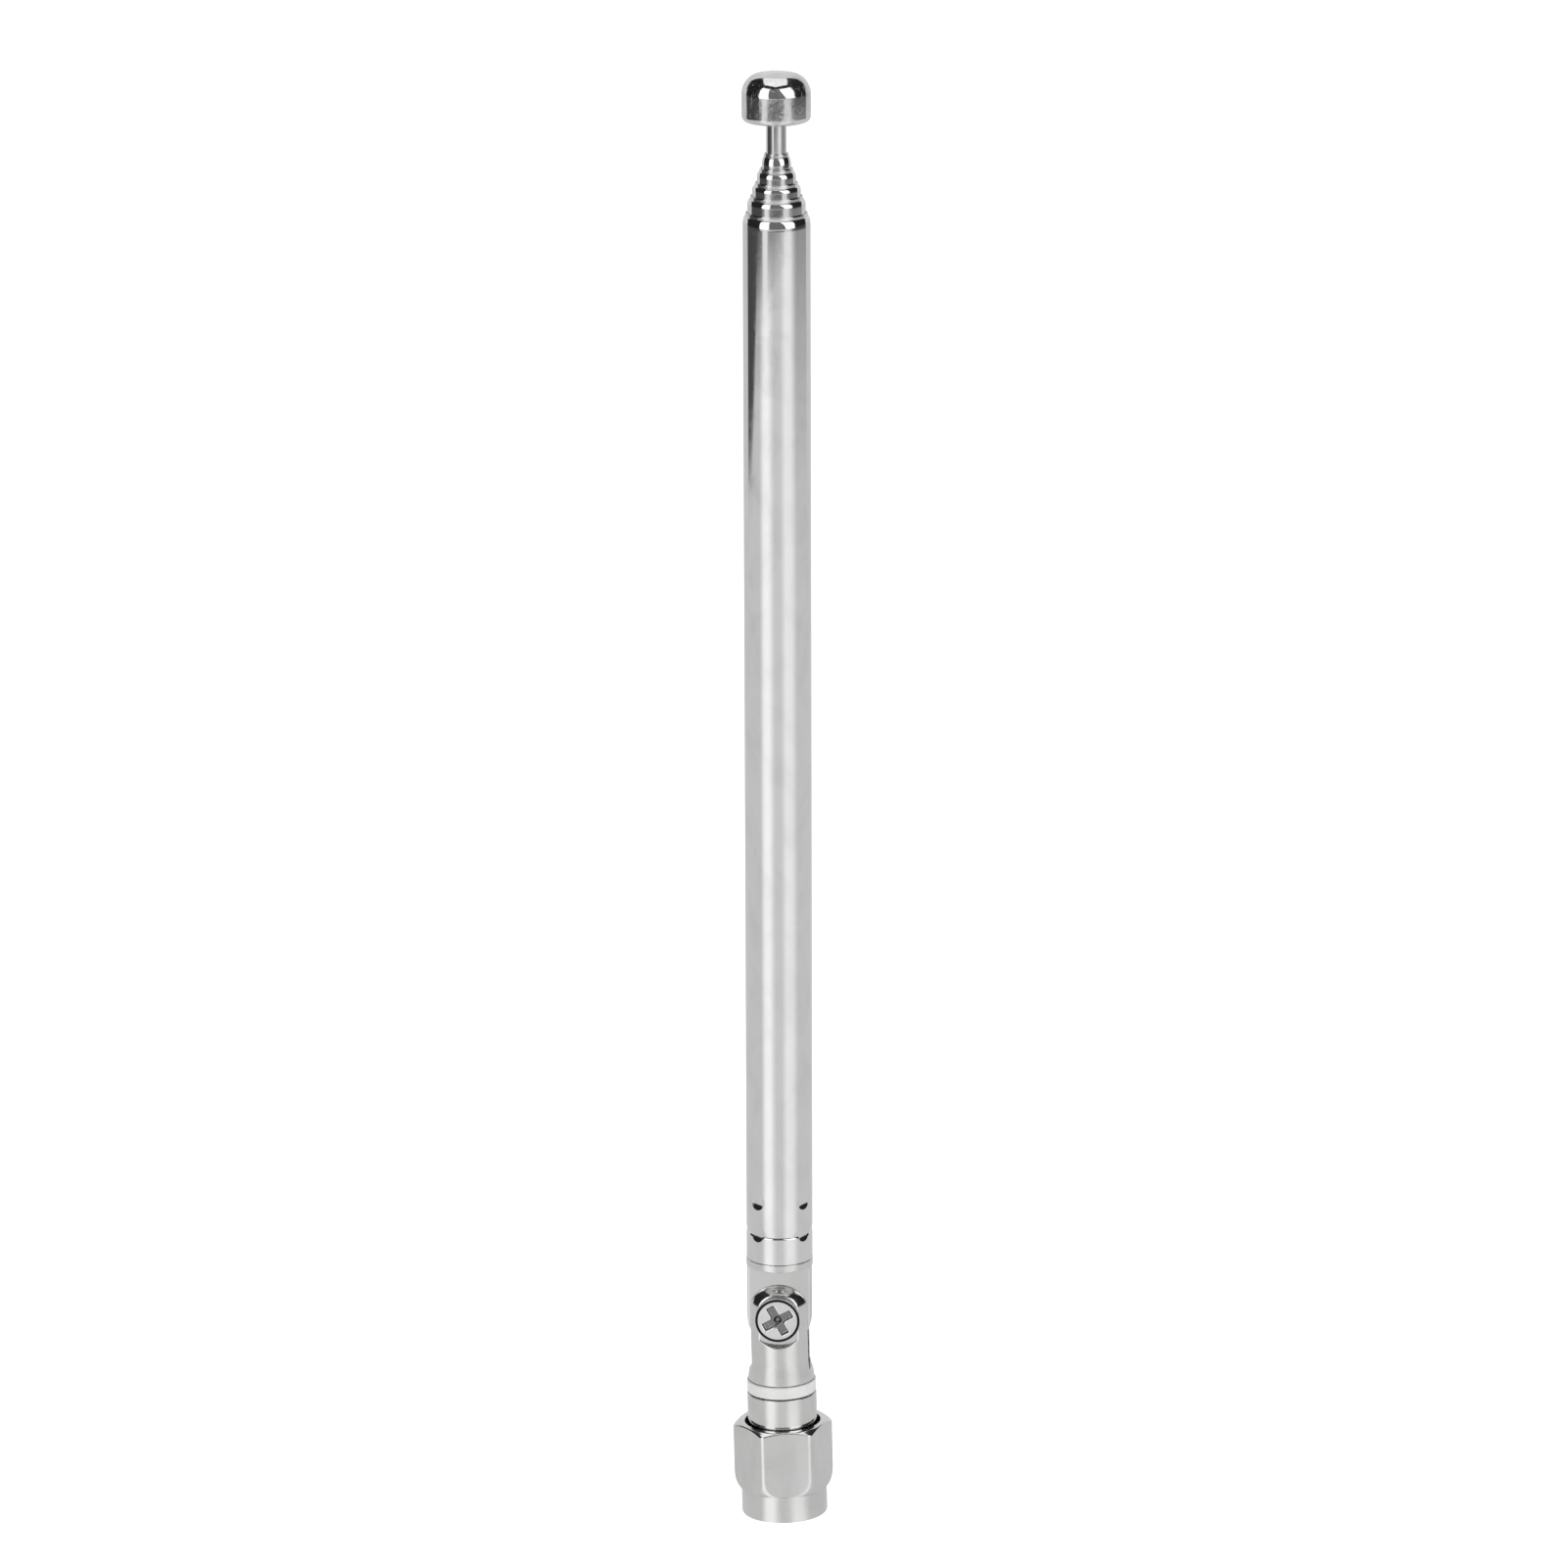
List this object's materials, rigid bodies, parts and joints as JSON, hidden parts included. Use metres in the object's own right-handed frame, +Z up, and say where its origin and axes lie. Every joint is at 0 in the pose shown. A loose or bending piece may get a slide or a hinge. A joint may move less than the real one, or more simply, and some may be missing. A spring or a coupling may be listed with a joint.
{
  "type": "telescopic antenna",
  "caption": "Collapsed telescopic whip antenna with nested polished tubes, a tip knob, a folding fork-and-tongue elbow and a screw-on coaxial plug.",
  "frame": {"origin": "centre of the plug's mating end, on the end plane of the coupling nut", "axes": "+Z up the plug's axis towards the whip; the elbow screw lies along Y with its head at -Y"},
  "size_m": [0.01, 0.0086, 0.1334],
  "materials": {
    "chrome_plate": "polished chrome plate on brass tube",
    "nickel_plate": "bright nickel plate on turned brass",
    "plated_steel": "nickel plated steel",
    "spring_steel": "plain spring steel",
    "phosphor_bronze": "satin",
    "gold_plate": "gold flash",
    "white_plastic": "turned white acetal",
    "fluoropolymer": "waxy white",
    "silicone_rubber": "matte"
  },
  "bodies": {
    "plug": {"connector_body": "nickel_plate", "retaining_ring": "spring_steel", "gasket": "silicone_rubber", "dielectric": "fluoropolymer", "centre_pin": "gold_plate", "contact_spring": "phosphor_bronze", "insulator_ring": "white_plastic"},
    "nut": {"coupling_nut": "nickel_plate"},
    "fork": {"elbow_fork": "nickel_plate", "stem_clip": "spring_steel", "pivot_screw": "plated_steel", "lock_washer": "spring_steel"},
    "whip_base": {"elbow_knuckle": "nickel_plate", "outer_tube": "chrome_plate"},
    "section_2": {"section_2_tube": "chrome_plate", "section_2_sleeve": "phosphor_bronze"},
    "section_3": {"section_3_tube": "chrome_plate", "section_3_sleeve": "phosphor_bronze"},
    "section_4": {"section_4_tube": "chrome_plate", "section_4_sleeve": "phosphor_bronze"},
    "section_5": {"section_5_tube": "chrome_plate", "section_5_sleeve": "phosphor_bronze"},
    "tip": {"tip_rod": "chrome_plate", "rod_bush": "phosphor_bronze", "rod_sleeve": "phosphor_bronze", "tip_knob": "chrome_plate"}
  },
  "joints": [
    {"name": "nut_spin", "type": "hinge", "parent": "plug", "child": "nut", "pos_m": [0, 0, 0.0045], "axis": [0, 0, 1], "continuous": true},
    {"name": "base_swivel", "type": "hinge", "parent": "plug", "child": "fork", "pos_m": [0, 0, 0.0122], "axis": [0, 0, 1], "continuous": true},
    {"name": "elbow_pivot", "type": "hinge", "parent": "fork", "child": "whip_base", "pos_m": [0, 0, 0.01915], "axis": [0, 1, 0], "range_deg": [-91.25, 88.75]},
    {"name": "section_2_slide", "type": "slide", "parent": "whip_base", "child": "section_2", "axis": [0.0218, 0, 0.9998], "range_m": [0, 0.0818]},
    {"name": "section_3_slide", "type": "slide", "parent": "section_2", "child": "section_3", "axis": [0.0218, 0, 0.9998], "range_m": [0, 0.0838]},
    {"name": "section_4_slide", "type": "slide", "parent": "section_3", "child": "section_4", "axis": [0.0218, 0, 0.9998], "range_m": [0, 0.0852]},
    {"name": "section_5_slide", "type": "slide", "parent": "section_4", "child": "section_5", "axis": [0.0218, 0, 0.9998], "range_m": [0, 0.0863]},
    {"name": "tip_slide", "type": "slide", "parent": "section_5", "child": "tip", "axis": [0.0218, 0, 0.9998], "range_m": [0, 0.0872]}
  ]
}
